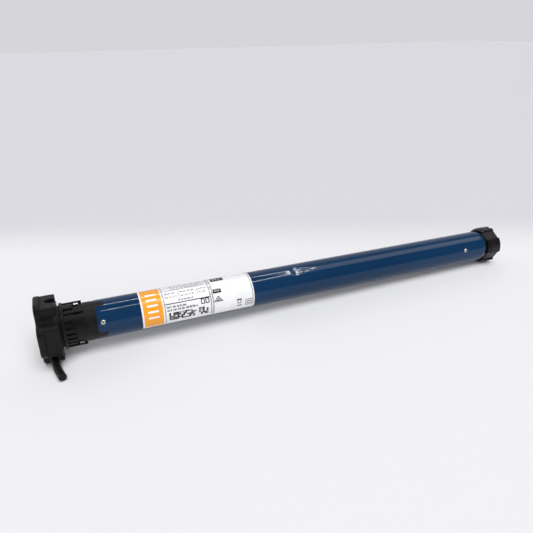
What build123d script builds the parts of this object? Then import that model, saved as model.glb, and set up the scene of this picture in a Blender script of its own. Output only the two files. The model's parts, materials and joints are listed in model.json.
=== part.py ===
from build123d import *
import os
from math import acos, cos, pi, radians, sin, tan

# Tubular motor for a roller shutter, in millimetres.
# +X runs along the motor's axis from the bracket end to the drive end, and +Z is up.
# The origin is on the axis, in the outer face of the head, where the wall bracket bolts on.
# Angles round the axis are measured from the front (-Y) towards the top (+Z).

# ---- driving dimensions -------------------------------------------------------------
TUBE_R = 22.5             # outer radius of the motor tube
TUBE_WALL = 0.9
TUBE_X0, TUBE_X1 = 62.0, 627.0
BORE_R = TUBE_R - TUBE_WALL
FIT = 0.05                # radial clearance of a running fit
SNUG = 0.02               # radial clearance of parts pushed into the tube
GAP = 0.4                 # clearance between parts that only pass each other

HEAD_COVER_T = 6.5        # thickness of the head's outer plate
HEAD_MID_X1 = 17.8        # end of the four-lobed stretch of the head
HEAD_X1 = 22.2            # rear face of the head's round flange
HEAD_FLANGE_R = 29.5
LOBE_W = 36.0             # width of each lobe of the head
LOBE_REACH = 34.0         # how far a lobe reaches from the axis
LOBE_CORNER_R = 3.5       # rounding of a lobe's two corners
COVER_REACH, COVER_CORNER_R = 36.8, 10.0
COVER_EDGE_R = 2.4        # rounding of the cover's outer rim
STEP_R, STEP_X1 = 23.6, 24.4
SPIGOT_R, SPIGOT_X1 = 17.5, 43.0
NECK_R = 10.2
SLOT_X0, SLOT_W, SLOT_FLOOR = 11.6, 10.0, 23.5    # clip slot in the upper lobe
HOLLOW_R, HOLLOW_X1 = 15.6, 20.0                  # round hollow inside the head

CROWN_X0, CROWN_X1 = 24.8, 50.0
CROWN_FLANGE_R, CROWN_FLANGE_T = 26.3, 3.4
CROWN_SLEEVE_R = 22.2
CROWN_RIB_R = 24.2
CROWN_GROOVE_R, CROWN_GROOVE_X0, CROWN_GROOVE_X1 = 21.0, 38.6, 44.6
CROWN_KEY_ANGLE = 118.0   # the two spring keys of the crown sit here and opposite
CROWN_KEY_R, CROWN_KEY_T, CROWN_KEY_ARC = 25.2, 1.8, 22.0
CROWN_WINDOW_X0, CROWN_WINDOW_X1, CROWN_WINDOW_R = 40.2, 45.4, 21.4    # under each key
LAP_X0, LAP_X1, LAP_R = 48.8, 49.2, 21.1    # where the collar's lip laps over the crown
# raised pads between the keys: centre angle, arc and end; repeated on the far side
CROWN_PADS = ((88.0, 23.0, 38.6), (61.5, 4.5, 48.7), (43.0, 14.0, 36.0), (26.0, 11.0, 35.0),
              (10.5, 10.0, 38.0), (-5.5, 9.0, 38.0), (-20.0, 9.0, 38.6), (-35.0, 9.0, 38.0))

COLLAR_R, COLLAR_X0, COLLAR_SPIGOT_X1 = 22.2, 50.4, 84.0
COLLAR_GROOVE_X0, COLLAR_GROOVE_X1 = 59.0, 59.7
TAB_ANGLES = (78.5, -26.0, 183.0)
TAB_LENGTHS = (9.5, 9.0, 6.0)
TAB_ARC = 22.0            # degrees

RIVET_ANGLE = 17.3
RIVET_COUNT = 3
RIVET_R, RIVET_HEAD_R, RIVET_TOP_R, RIVET_HEAD_H = 1.6, 2.7, 1.7, 0.9
FRONT_RIVET_X, REAR_RIVET_X = 67.7, 587.5
DENT_X, DENT_ANGLE, DENT_DEPTH, DENT_R = 310.5, 59.0, 1.7, 42.0

LABEL_X0, LABEL_X1 = 110.7, 249.0
LABEL_A0, LABEL_A1 = -40.0, 150.0
LABEL_T = 0.12

BUTTON_R = 3.4
BUTTON_Y, BUTTON_Z = 7.0, 2.0
BOLT_PCD, BOLT_R, BOLT_DEPTH = 48.0, 2.5, 14.0

CABLE_R = 4.3
CABLE_X = 12.2
CABLE_Z = -28.0            # height at which the cable leaves the head
PLUG_Y = -2.4
CABLE_ROUTE = ((CABLE_X, PLUG_Y, CABLE_Z), (CABLE_X, -20.0, CABLE_Z), (12.8, -31.0, -30.7),
               (14.7, -42.0, -31.3), (17.8, -53.5, -31.3))
GLAND_R, GLAND_LIP_R = 5.1, 5.5

# gear trains
PRESSURE = radians(25)
BACKLASH = 0.10           # taken off each tooth, half on each flank
CROWN_GEAR_MODULE, CROWN_TEETH, PINION_TEETH = 0.75, 50, 10
CAM_MODULE, CAM_PINION_TEETH, CAM_TEETH = 0.5, 12, 36
STAGE_MODULE, SUN_TEETH, PLANET_TEETH, RING_TEETH = 0.75, 12, 18, 48
STAGES = ((498.0, 9.0), (520.0, 12.0), (546.0, 17.0))   # start and face width of each stage
PLANETS = 3
PLANET_PIN_R = 2.0
CARRIER_R, CARRIER_T = 15.5, 4.0

# stretches of the tube taken by each unit
CAP_X0, CAP_X1, CAP_R = 140.0, 225.0, 17.0
SHIELD_X0, SHIELD_X1 = 294.0, 327.0
STATOR_X0, STATOR_X1 = 342.0, 432.0
REAR_SHIELD_X0, REAR_SHIELD_X1 = 446.0, 456.0
BRAKE_X0, BRAKE_X1 = 456.4, 490.0
RING_X0, RING_X1 = 492.0, 570.0
END_X0, END_X1 = 570.2, 627.0
STATOR_BORE_R, ROTOR_R, SHAFT_R = 12.3, 11.9, 4.0
BUSH_R = 6.5
OUTPUT_R = 8.0
SHAFT_FLAT = 6.4          # distance of the output shaft's two flats from the axis

WHEEL_X0, WHEEL_X1 = 628.4, 652.5
WHEEL_LAND_R, WHEEL_FLAT_R = 26.4, 22.6
WHEEL_STEP_R = 25.0       # the flats' corners are eased back to this radius
# centre and arc of the four lands; the two wide ones are notched
WHEEL_LANDS = ((16.0, 48.0), (103.5, 55.0), (196.0, 48.0), (283.5, 55.0))
WHEEL_NOTCHES = (92.0, 272.0)
WHEEL_RAMP = 6.0          # length of the lead-in at the lands' near ends
WHEEL_SKIRT_R = 22.0


# ---- helpers ------------------------------------------------------------------------
def rod(x0, x1, radius, y=0.0, z=0.0):
    """A round bar along X."""
    return Pos((x0 + x1) / 2, y, z) * Rot(0, 90, 0) * Cylinder(radius, x1 - x0)


def pipe(x0, x1, outer, inner, y=0.0, z=0.0):
    """A round pipe along X."""
    return rod(x0, x1, outer, y, z) - rod(x0 - 1, x1 + 1, inner, y, z)


def block(x0, x1, y0, y1, z0, z1):
    return Pos((x0 + x1) / 2, (y0 + y1) / 2, (z0 + z1) / 2) * Box(x1 - x0, y1 - y0, z1 - z0)


def around(shape, angle):
    """Turns a shape made at the front (-Y) round the axis to an angle towards the top."""
    return Rot(-angle, 0, 0) * shape


def at_angle(radius, angle):
    """The y and z of a point at a radius and an angle from the front."""
    return -radius * cos(radians(angle)), radius * sin(radians(angle))


def sector(x0, x1, outer, inner, angle, arc):
    """A piece of pipe that spans an arc centred on an angle."""
    profile = Pos((x0 + x1) / 2, -(outer + inner) / 2) * Rectangle(x1 - x0, outer - inner)
    return around(revolve(profile, Axis.X, arc), angle + arc / 2)


def radial_pin(x, r0, r1, radius, angle):
    """A round pin that points away from the axis."""
    pin = Pos(x, -(r0 + r1) / 2, 0) * Rot(90, 0, 0) * Cylinder(radius, r1 - r0)
    return around(pin, angle)


def lobed(reach, width, corner):
    """Outline of four lobes: a cross with rounded tips and eased inner corners."""
    cross = Rectangle(2 * reach, width) + Rectangle(width, 2 * reach)
    tips = [v for v in cross.vertices() if max(abs(v.X), abs(v.Y)) > reach - 0.01]
    cross = fillet(tips, corner)
    roots = [v for v in cross.vertices() if max(abs(v.X), abs(v.Y)) < width / 2 + 0.01]
    return fillet(roots, LOBE_CORNER_R)


def involute(angle):
    return tan(angle) - angle


def gear_outline(teeth, module, thin, root_r, tip_r, phase):
    """Gear outline with each involute flank drawn as two straight facets."""
    pitch_r = teeth * module / 2
    base_r = pitch_r * cos(PRESSURE)
    points = []
    for tooth in range(teeth):
        centre = radians(phase) + 2 * pi * tooth / teeth
        flank = []
        for r in (root_r, pitch_r, tip_r):
            local = acos(min(1.0, base_r / max(r, base_r)))
            half = pi / (2 * teeth) + involute(PRESSURE) - involute(local) - thin / (2 * r)
            flank.append((r, half))
        for r, half in flank:
            points.append((r * cos(centre - half), r * sin(centre - half)))
        for r, half in reversed(flank):
            points.append((r * cos(centre + half), r * sin(centre + half)))
    return Polygon(*points, align=None)


def gear(x0, x1, teeth, module, bore_r, phase, y=0.0, z=0.0):
    """External gear; phase is the angle of a tooth's centre from +Y towards +Z."""
    pitch_r = teeth * module / 2
    outline = gear_outline(teeth, module, BACKLASH, pitch_r - 1.2 * module,
                           pitch_r + 0.9 * module, phase)
    blank = extrude(Plane.YZ.offset(x0) * outline, x1 - x0)
    return Pos(0, y, z) * (blank - rod(x0 - 1, x1 + 1, bore_r) if bore_r else blank)


def ring_space(x0, x1, teeth, module, phase):
    """What an internal gear leaves open; phase is the centre of a tooth space."""
    pitch_r = teeth * module / 2
    outline = gear_outline(teeth, module, -BACKLASH, pitch_r - 0.75 * module,
                           pitch_r + 1.2 * module, phase)
    return extrude(Plane.YZ.offset(x0) * outline, x1 - x0)


def coil(x0, x1, mean_r, wire_r, turns, y=0.0, z=0.0):
    """A compression spring along X with its ends a wire's radius inside x0 and x1."""
    pitch = (x1 - x0 - 2 * wire_r) / turns
    helix = Helix(pitch, pitch * turns, mean_r)
    wire = sweep(Plane(helix @ 0, z_dir=helix % 0) * Circle(wire_r), path=helix, is_frenet=True)
    return Pos(x0 + wire_r, y, z) * Rot(0, 90, 0) * wire


# ---- head ---------------------------------------------------------------------------
def bolt_holes():
    holes = []
    for angle in (0, 90, 180, 270):
        y, z = at_angle(BOLT_PCD / 2, angle)
        holes.append(rod(-1, BOLT_DEPTH, BOLT_R, y, z))
    return holes


def along_y(y0, y1, radius):
    """A round bar along Y, on the line where the cable leaves the head."""
    return Pos(CABLE_X, (y0 + y1) / 2, CABLE_Z) * Rot(90, 0, 0) * Cylinder(radius, y1 - y0)


def head_housing():
    body = extrude(Plane.YZ.offset(HEAD_COVER_T) * lobed(LOBE_REACH, LOBE_W, LOBE_CORNER_R),
                   HEAD_X1 - HEAD_COVER_T)
    rear = [e for e in body.edges() if e.center().X > HEAD_X1 - 0.01]
    body = chamfer(rear, 0.8)
    body += rod(HEAD_MID_X1, HEAD_X1, HEAD_FLANGE_R)
    body += rod(HEAD_X1, STEP_X1, STEP_R)
    body += rod(STEP_X1, SPIGOT_X1, SPIGOT_R)
    # slot for the bracket's spring clip, in the upper lobe, open at the rear
    half = SLOT_W / 2
    depth = LOBE_REACH + 1 - SLOT_FLOOR
    body -= block(SLOT_X0 + half, HEAD_X1 + 1, -half, half, SLOT_FLOOR, LOBE_REACH + 1)
    body -= Pos(SLOT_X0 + half, 0, SLOT_FLOOR + depth / 2) * Cylinder(half, depth)
    # hollow for the buttons, the plug and the wiring, then the bore for the collar's neck
    body -= rod(HEAD_COVER_T - 1, HOLLOW_X1, HOLLOW_R)
    body -= rod(HOLLOW_X1 - 1, SPIGOT_X1 + 1, NECK_R + SNUG)
    body -= block(HEAD_COVER_T - 1, 19.0, PLUG_Y - GAP, 9.5, -30.0, -10.0)
    body -= along_y(-20.0, PLUG_Y, GLAND_R + SNUG)
    body -= bolt_holes()
    # channel for the pinion that the crown turns
    body -= rod(34.0, SPIGOT_X1 + 1, 5.2, 0, PINION_Z)
    return body


def head_cover():
    plate = extrude(Plane.YZ * lobed(COVER_REACH, LOBE_W + 1.5, COVER_CORNER_R), HEAD_COVER_T)
    rim = [e for e in plate.edges() if e.center().X < 0.01]
    plate = fillet(rim, COVER_EDGE_R)
    plate -= bolt_holes()
    plate -= block(-1, 1.2, -14.0, 14.0, -5.5, 9.5)
    for side in (-1, 1):
        plate -= rod(-1, HEAD_COVER_T + 1, BUTTON_R + 0.15, side * BUTTON_Y, BUTTON_Z)
    for y, z in screw_places():
        plate -= rod(-1, HEAD_COVER_T + 1, 1.6, y, z)
        plate -= rod(-1, 2.2, 3.0, y, z)
    # four locating ribs drop into the head's hollow
    for angle in (45, 135, 225, 315):
        plate += sector(HEAD_COVER_T, HEAD_COVER_T + 2.5, HOLLOW_R - GAP, 13.6, angle, 24)
    return plate


def screw_places():
    return [at_angle(19.5, angle) for angle in (45, 135, 225, 315)]


def head_screws():
    screws = []
    for y, z in screw_places():
        head = rod(0.4, 2.2, 2.8, y, z) - block(-1, 1.2, y - 2.4, y + 2.4, z - 0.45, z + 0.45)
        screws.append(head + rod(2.2, 6.0, 1.55, y, z))
    return Compound(children=screws)


def button(side):
    y = side * BUTTON_Y
    cap = rod(0.2, 7.0, BUTTON_R, y, BUTTON_Z)
    cap += rod(7.0, 8.2, BUTTON_R + 1.0, y, BUTTON_Z)
    cap += rod(8.2, 12.4, 1.2, y, BUTTON_Z)
    crown_edge = [e for e in cap.edges() if e.center().X < 0.21]
    cap = fillet(crown_edge, 0.6)
    return cap - block(-1, 0.7, y - 1.6, y + 1.6, BUTTON_Z - 0.3, BUTTON_Z + 0.3)


def button_plate():
    """Contact carrier that the two limit buttons press on."""
    plate = rod(15.6, 18.0, 15.3) & block(15, 19, -14, 14, -8.5, 12)
    plate -= rod(15, 19, 4.0, 0, 8.6)
    for side in (-1, 1):
        plate -= rod(15, 19, 1.5, side * BUTTON_Y, BUTTON_Z)
    return plate


def button_spring(side):
    return coil(8.3, 15.5, 2.4, 0.3, 5, side * BUTTON_Y, BUTTON_Z)


def cable_gland():
    """Rubber strain relief in the side of the lower lobe."""
    face = -LOBE_W / 2
    body = along_y(face, -11.0, GLAND_R) + along_y(face - 1.4, face, GLAND_LIP_R)
    taper = Pos(CABLE_X, face - 1.4, CABLE_Z) * Rot(90, 0, 0) * Cone(
        5.2, 4.4, 3.0, align=(Align.CENTER, Align.CENTER, Align.MIN))
    return body + taper - along_y(face - 5.0, -10.0, CABLE_R)


def supply_cable():
    points = [Vector(*p) for p in CABLE_ROUTE]
    radii = []
    for a, b, c in zip(points, points[1:], points[2:]):
        turn = radians((b - a).get_angle(c - b))
        radii.append(0.45 * min((b - a).length, (c - b).length) / tan(turn / 2))
    path = FilletPolyline(*points, radius=radii)
    cable = sweep(Plane(path @ 0, z_dir=path % 0) * Circle(CABLE_R), path=path)
    print("cable bend radii", [round(r, 1) for r in radii], "length", round(path.length, 1))
    print("cable volume", round(cable.volume, 1), "of", round(pi * CABLE_R ** 2 * path.length, 1))
    return cable


def cable_plug():
    """Plug on the cable's inner end, held in the lower lobe."""
    body = block(7.4, 18.4, PLUG_Y, 8.5, -29.5, -16.2)
    for x in (9.4, 12.9, 16.4):
        body -= block(x - 0.7, x + 0.7, 0.5, 9, -28, -17.8)
    return body


# ---- crown --------------------------------------------------------------------------
def crown():
    """Ring on the head that the shutter tube slides over and turns."""
    ring = chamfer(rod(CROWN_X0, CROWN_X0 + CROWN_FLANGE_T, CROWN_FLANGE_R).edges(), 0.5)
    ring += rod(CROWN_X0, CROWN_X1, CROWN_SLEEVE_R)
    ring -= pipe(CROWN_GROOVE_X0, CROWN_GROOVE_X1, CROWN_SLEEVE_R + 1, CROWN_GROOVE_R)
    pad_x0 = CROWN_X0 + CROWN_FLANGE_T - 0.5
    for turn in (0, 180):
        for angle, arc, end in CROWN_PADS:
            ring += sector(pad_x0, end, CROWN_RIB_R, 20.0, angle + turn, arc)
        # spring key: a tongue over a window, held at both ends
        key = CROWN_KEY_ANGLE + turn
        key_under_r = CROWN_KEY_R - CROWN_KEY_T
        ring += sector(pad_x0, LAP_X0 - 0.1, CROWN_KEY_R, 20.0, key, CROWN_KEY_ARC)
        ring -= sector(CROWN_WINDOW_X0, CROWN_WINDOW_X1, key_under_r, CROWN_WINDOW_R, key,
                       CROWN_KEY_ARC + 4)
        # shallow panel in the smooth end
        ring -= sector(45.8, 48.0, CROWN_SLEEVE_R + 1, CROWN_SLEEVE_R - 0.5, 24 + turn, 18)
    ring -= pipe(LAP_X0, CROWN_X1 + 1, CROWN_KEY_R + 1, LAP_R - 0.15)
    # plain bearing on the head, then the internal teeth that drive the pinion
    ring -= rod(CROWN_X0 - 1, SPIGOT_X1 + 0.4, SPIGOT_R + FIT)
    ring -= ring_space(SPIGOT_X1 + 0.2, CROWN_X1 + 1, CROWN_TEETH, CROWN_GEAR_MODULE,
                       90 + 180 / CROWN_TEETH)
    return ring


# ---- limit-switch unit --------------------------------------------------------------
PINION_Z = (CROWN_TEETH - PINION_TEETH) * CROWN_GEAR_MODULE / 2
CAM_Z = PINION_Z - (CAM_PINION_TEETH + CAM_TEETH) * CAM_MODULE / 2
PINION_SHAFT_R = 1.5
CAM_SHAFT_R = 2.0
CAM_R = 8.0
SWITCH_X = (86.0, 103.0)    # start of each cam and its switch
SWITCH_TOP = -9.5


def crown_pinion():
    return gear(44.0, 49.4, PINION_TEETH, CROWN_GEAR_MODULE, 0, 90 + 180 / PINION_TEETH,
                0, PINION_Z)


def pinion_shaft():
    """Shaft of the crown pinion, with the small gear that turns the cams."""
    small = gear(71.0, 76.0, CAM_PINION_TEETH, CAM_MODULE, 0, 90, 0, PINION_Z)
    return rod(49.4, 71.0, PINION_SHAFT_R, 0, PINION_Z) + small \
        + rod(76.0, 82.0, PINION_SHAFT_R, 0, PINION_Z)


def cam_gear():
    # a space faces the small gear's tooth, straight up
    body = gear(71.4, 75.6, CAM_TEETH, CAM_MODULE, 0, 90 + 180 / CAM_TEETH, 0, CAM_Z)
    return body - rod(70, 77, CAM_SHAFT_R, 0, CAM_Z)


def cam_shaft():
    return rod(69.4, 124.6, CAM_SHAFT_R, 0, CAM_Z)


def limit_cams():
    """Two notched discs, one for each direction of travel."""
    discs = []
    for x0, notch_angle in zip(SWITCH_X, (40, 150)):
        disc = pipe(x0, x0 + 7.0, CAM_R, CAM_SHAFT_R, 0, CAM_Z)
        y, z = at_angle(CAM_R + 0.6, notch_angle)
        discs.append(disc - rod(x0 - 1, x0 + 8, 1.6, y, z + CAM_Z))
    return Compound(children=discs)


def microswitches():
    bodies = []
    for x0 in SWITCH_X:
        body = block(x0 - 1.5, x0 + 8.5, -6.0, 6.0, -16.5, SWITCH_TOP)
        body -= block(x0 + 2.1, x0 + 4.9, -1.4, 1.4, SWITCH_TOP - 3.5, SWITCH_TOP + 1)
        for y in (-4.0, 0.0, 4.0):
            body += block(x0 + 3.1, x0 + 3.9, y - 1.0, y + 1.0, -18.5, -16.5)
        bodies.append(body)
    return Compound(children=bodies)


def switch_plunger(x0):
    return block(x0 + 2.2, x0 + 4.8, -1.3, 1.3, SWITCH_TOP - 2.0, CAM_Z - CAM_R - 0.25)


def limit_chassis():
    front = rod(67.0, 69.6, 19.0) - rod(66, 71, CAM_SHAFT_R + FIT, 0, CAM_Z)
    front -= rod(66, 71, PINION_SHAFT_R + FIT, 0, PINION_Z)
    front -= block(66, 71, -6, 6, -20, -12)
    back = rod(122.0, 125.4, 20.6) - rod(121, 126, CAM_SHAFT_R + FIT, 0, CAM_Z)
    back -= block(121, 126, -6, 6, -21, -14)
    inner = rod(78.6, 81.2, 19.0) & block(78, 82, -8, 8, 8.0, 19)
    inner -= rod(78, 82, PINION_SHAFT_R + FIT, 0, PINION_Z)
    shell = pipe(69.6, 122.0, 19.0, 17.4) & block(69, 123, -19, 19, -19.5, -9.5)
    shell -= block(84, 113, -6.2, 6.2, -20, -15)
    rails = block(84.5, 113.0, -9.0, -6.1, -16.0, -10.0)
    rails += block(84.5, 113.0, 6.1, 9.0, -16.0, -10.0)
    top = pipe(79.0, 122.5, 19.0, 17.4) & block(78, 123, -8, 8, 14, 20)
    return front + back + inner + shell + rails + top


# ---- collar -------------------------------------------------------------------------
def collar():
    """Black ring between crown and tube; its spigot and tabs lock the tube to the head."""
    body = rod(COLLAR_X0, TUBE_X0, COLLAR_R)
    body += pipe(LAP_X1, COLLAR_X0 + 0.5, COLLAR_R, LAP_R)
    body -= pipe(COLLAR_GROOVE_X0, COLLAR_GROOVE_X1, COLLAR_R + 1, COLLAR_R - 0.6)
    body += rod(TUBE_X0 - 0.5, COLLAR_SPIGOT_X1, BORE_R - SNUG)
    body += rod(27.0, COLLAR_X0 + 0.5, NECK_R)
    body -= rod(66.6, COLLAR_SPIGOT_X1 + 1, 19.3)
    body -= rod(26, 67, 6.5)
    body -= rod(50, 67, PINION_SHAFT_R + FIT, 0, PINION_Z)
    for angle, length in zip(TAB_ANGLES, TAB_LENGTHS):
        body += sector(TUBE_X0 - 0.5, TUBE_X0 + length, TUBE_R - 0.1, BORE_R - 1, angle, TAB_ARC)
    body -= rivet_holes(FRONT_RIVET_X)
    return body


# ---- tube, rivets, label ------------------------------------------------------------
def rivet_angles():
    return [RIVET_ANGLE + 360 * i / RIVET_COUNT for i in range(RIVET_COUNT)]


def rivet_holes(x):
    return [radial_pin(x, 18.0, 26.0, RIVET_R, angle) for angle in rivet_angles()]


def tube_rivets():
    """Blind rivets that hold the collar and the gearbox end in the tube."""
    upwards = (Align.CENTER, Align.CENTER, Align.MIN)
    group = []
    for x, inner_r in ((FRONT_RIVET_X, 19.6), (REAR_RIVET_X, 18.2)):
        outwards = Pos(x, 0, 0) * Rot(90, 0, 0)
        base = outwards * Pos(0, 0, TUBE_R - 0.5) * Cylinder(RIVET_HEAD_R, 0.6, align=upwards)
        dome = outwards * Pos(0, 0, TUBE_R + 0.1) * Cone(
            RIVET_HEAD_R, RIVET_TOP_R, RIVET_HEAD_H, align=upwards)
        head = (base + dome) - rod(x - 4, x + 4, TUBE_R)
        for angle in rivet_angles():
            shank = radial_pin(x, inner_r, TUBE_R + 0.3, RIVET_R, angle)
            well = radial_pin(x, TUBE_R - 0.6, TUBE_R + 3, 0.8, angle)
            group.append(shank + around(head, angle) - well)
    return Compound(children=group)


def dent_cutter(radius):
    """Round roller whose pass leaves the crimp; the axis is square to the tube's."""
    roller = Pos(DENT_X, -(TUBE_R - DENT_DEPTH + DENT_R), 0) * Cylinder(radius, 17.0)
    return around(roller, DENT_ANGLE)


def motor_tube():
    tube = pipe(TUBE_X0, TUBE_X1, TUBE_R, BORE_R)
    bulge = dent_cutter(DENT_R + TUBE_WALL) & rod(DENT_X - 20, DENT_X + 20, TUBE_R - 0.1)
    tube = tube + bulge - dent_cutter(DENT_R)
    for angle, length in zip(TAB_ANGLES, TAB_LENGTHS):
        tube -= sector(TUBE_X0 - 1, TUBE_X0 + length + 0.1, TUBE_R + 1, BORE_R - 1, angle,
                       TAB_ARC + 0.4)
    return tube - rivet_holes(FRONT_RIVET_X) - rivet_holes(REAR_RIVET_X)


def rating_label():
    return sector(LABEL_X0, LABEL_X1, TUBE_R + LABEL_T, TUBE_R,
                  (LABEL_A0 + LABEL_A1) / 2, LABEL_A1 - LABEL_A0)


# ---- electrics ----------------------------------------------------------------------
def capacitor():
    can = fillet(rod(CAP_X0, CAP_X1, CAP_R).edges(), 1.5)
    for y in (-5.0, 5.0):
        can += block(CAP_X0 - 6.0, CAP_X0 + 0.5, y - 3.0, y + 3.0, -0.4, 0.4)
    return can


def capacitor_cradle():
    cradle = pipe(CAP_X0 + 4, CAP_X1 - 4, BORE_R - SNUG, CAP_R + SNUG)
    return cradle - block(CAP_X0, CAP_X1, -7, 7, -25, -10)


def motor_leads():
    """Insulated leads from the switches past the capacitor to the windings."""
    wires = []
    for y in (-4.5, 0.0, 4.5):
        wires.append(rod(128.0, 292.0, 1.1, y, -19.2 + abs(y) * 0.12))
    return Compound(children=wires)


def front_shield():
    """Bearing shield at the front of the stator, with a recess for the tube's crimp."""
    body = rod(SHIELD_X0, SHIELD_X1, BORE_R - SNUG)
    body -= dent_cutter(DENT_R + TUBE_WALL + GAP)
    body -= rod(SHIELD_X1 - 8, SHIELD_X1 + 1, 15.0)
    body -= rod(SHIELD_X0 - 1, SHIELD_X1, BUSH_R)
    body -= rod(SHIELD_X0 - 1, SHIELD_X1 + 1, 2.4, 0, -17.5)
    return body


def rear_shield():
    body = rod(REAR_SHIELD_X0, REAR_SHIELD_X1, BORE_R - SNUG)
    body -= rod(REAR_SHIELD_X0 - 1, REAR_SHIELD_X1 + 1, BUSH_R)
    for angle in (45, 135, 225, 315):
        y, z = at_angle(14.5, angle)
        body -= rod(REAR_SHIELD_X0 - 1, REAR_SHIELD_X1 + 1, 3.0, y, z)
    return body


SLOTS = 12


def stator_core():
    core = pipe(STATOR_X0, STATOR_X1, BORE_R - SNUG, STATOR_BORE_R)
    for i in range(SLOTS):
        angle = 360 * i / SLOTS
        core -= sector(STATOR_X0 - 1, STATOR_X1 + 1, 18.4, STATOR_BORE_R + 1.2, angle, 17)
        mouth = block(STATOR_X0 - 1, STATOR_X1 + 1, -14.5, -STATOR_BORE_R + 1, -0.9, 0.9)
        core -= around(mouth, angle)
    return core


def stator_windings():
    """Copper in the slots, joined by a ring at each end."""
    inner = STATOR_BORE_R + 1.6
    rings = [fillet(pipe(x0, x0 + 10.5, 18.0, inner).edges(), 1.2)
             for x0 in (STATOR_X0 - 11, STATOR_X1 + 0.5)]
    copper = rings[0] + rings[1]
    for i in range(SLOTS):
        copper += sector(STATOR_X0 - 2, STATOR_X1 + 2, 17.0, inner + 0.3, 360 * i / SLOTS, 14.5)
    return copper


def rotor_core():
    core = pipe(STATOR_X0 + 1, STATOR_X1 - 1, ROTOR_R, SHAFT_R + 1.0)
    for x0, x1 in ((STATOR_X0 - 3, STATOR_X0 + 1), (STATOR_X1 - 1, STATOR_X1 + 3)):
        core += pipe(x0, x1, ROTOR_R - 0.4, SHAFT_R + 2.0)
    core += pipe(STATOR_X0 + 1, STATOR_X1 - 1, SHAFT_R + 1.5, SHAFT_R)
    return core


def rotor_shaft():
    """Shaft of the rotor; the first sun gear is cut on its end."""
    x0, width = STAGES[0]
    shaft = chamfer(rod(SHIELD_X0 + 4, x0 - 3, SHAFT_R).edges(), 0.4)
    return shaft + gear(x0 - 3.2, x0 + width, SUN_TEETH, STAGE_MODULE, 0, 0)


def rotor_bushes():
    places = ((SHIELD_X0, SHIELD_X1 - 8), (REAR_SHIELD_X0, REAR_SHIELD_X1))
    return Compound(children=[pipe(x0, x1, BUSH_R - SNUG, SHAFT_R + FIT) for x0, x1 in places])


# ---- brake --------------------------------------------------------------------------
BRAKE_BORE_R = 18.0
BRAKE_KEYS = (0, 120, 240)                # angles of the keys the plates slide on
PLATE_X0, PLATE_X1 = 478.0, 481.0
DISC_X0, DISC_X1, DISC_HUB_X1 = 481.2, 483.6, 488.0
PRESSURE_X0, PRESSURE_X1 = 485.2, 489.6


def brake_housing():
    body = pipe(BRAKE_X0, BRAKE_X1, BORE_R - SNUG, BRAKE_BORE_R)
    body += pipe(BRAKE_X0, BRAKE_X0 + 4.0, BRAKE_BORE_R + 0.2, 7.0)
    for angle in BRAKE_KEYS:
        body += around(block(BRAKE_X0 + 3, BRAKE_X1 - 2, -18.4, -16.2, -1.5, 1.5), angle)
    return body


def brake_plate():
    """Plate that slides on the housing's three keys and clamps the brake disc."""
    plate = pipe(PLATE_X0, PLATE_X1, BRAKE_BORE_R - GAP, 7.0)
    for angle in BRAKE_KEYS:
        plate -= around(block(PLATE_X0 - 1, PLATE_X1 + 1, -19, -15.8, -1.9, 1.9), angle)
    return plate


def brake_disc():
    disc = pipe(DISC_X0, DISC_X1, 15.2, SHAFT_R)
    return disc + pipe(DISC_X1 - 0.2, DISC_HUB_X1, 8.0, SHAFT_R)


def brake_pressure_plate():
    plate = pipe(PRESSURE_X0, PRESSURE_X1, BRAKE_BORE_R - FIT, 9.5)
    for angle in BRAKE_KEYS:
        plate -= around(block(PRESSURE_X0 - 1, PRESSURE_X1 + 1, -19, -16.0, -1.7, 1.7), angle)
    return plate


def brake_spring():
    return coil(BRAKE_X0 + 4.1, PLATE_X0 - 0.1, 10.0, 0.9, 4)


# ---- planetary gearbox --------------------------------------------------------------
PLANET_ORBIT_R = (SUN_TEETH + PLANET_TEETH) * STAGE_MODULE / 2


def planet_places():
    """Each planet's angle in degrees from +Y towards +Z, with its y and z."""
    places = []
    for i in range(PLANETS):
        angle = 360 * i / PLANETS
        turn = radians(angle)
        places.append((angle, PLANET_ORBIT_R * cos(turn), PLANET_ORBIT_R * sin(turn)))
    return places


def ring_gear():
    body = rod(RING_X0, RING_X1, BORE_R - SNUG)
    return body - ring_space(RING_X0 - 1, RING_X1 + 1, RING_TEETH, STAGE_MODULE, 180 / RING_TEETH)


def sun_gear(stage):
    """Sun of a later stage, fixed on the carrier before it."""
    before_x0, before_width = STAGES[stage - 1]
    x0, width = STAGES[stage]
    start = before_x0 + before_width + 0.5 + CARRIER_T
    return gear(start, x0 + width, SUN_TEETH, STAGE_MODULE, 0, 0)


def planet(stage, angle, y, z):
    x0, width = STAGES[stage]
    phase = angle + 180 + 180 / PLANET_TEETH
    return gear(x0, x0 + width, PLANET_TEETH, STAGE_MODULE, PLANET_PIN_R + FIT, phase, y, z)


def carrier(stage):
    """Disc with three riveted pins that carry the planets."""
    x0, width = STAGES[stage]
    disc_x0 = x0 + width + 0.5
    disc = rod(disc_x0, disc_x0 + CARRIER_T, CARRIER_R)
    for angle in (60, 180, 300):
        y, z = 11.5 * cos(radians(angle)), 11.5 * sin(radians(angle))
        disc -= rod(disc_x0 - 1, disc_x0 + CARRIER_T + 1, 2.5, y, z)
    for _, y, z in planet_places():
        disc += rod(x0 - 0.8, disc_x0 + CARRIER_T + 0.4, PLANET_PIN_R, y, z)
    return disc


def output_shaft():
    start = STAGES[2][0] + STAGES[2][1] + 0.5 + CARRIER_T
    shaft = rod(start, WHEEL_X1 - 6.0, OUTPUT_R)
    shaft -= rod(WHEEL_X1 - 22.0, WHEEL_X1, 1.7)
    flat = block(WHEEL_X0 - 0.6, WHEEL_X1, SHAFT_FLAT, 9, -9, 9)
    shaft -= flat
    return shaft - Rot(180, 0, 0) * flat


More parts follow.
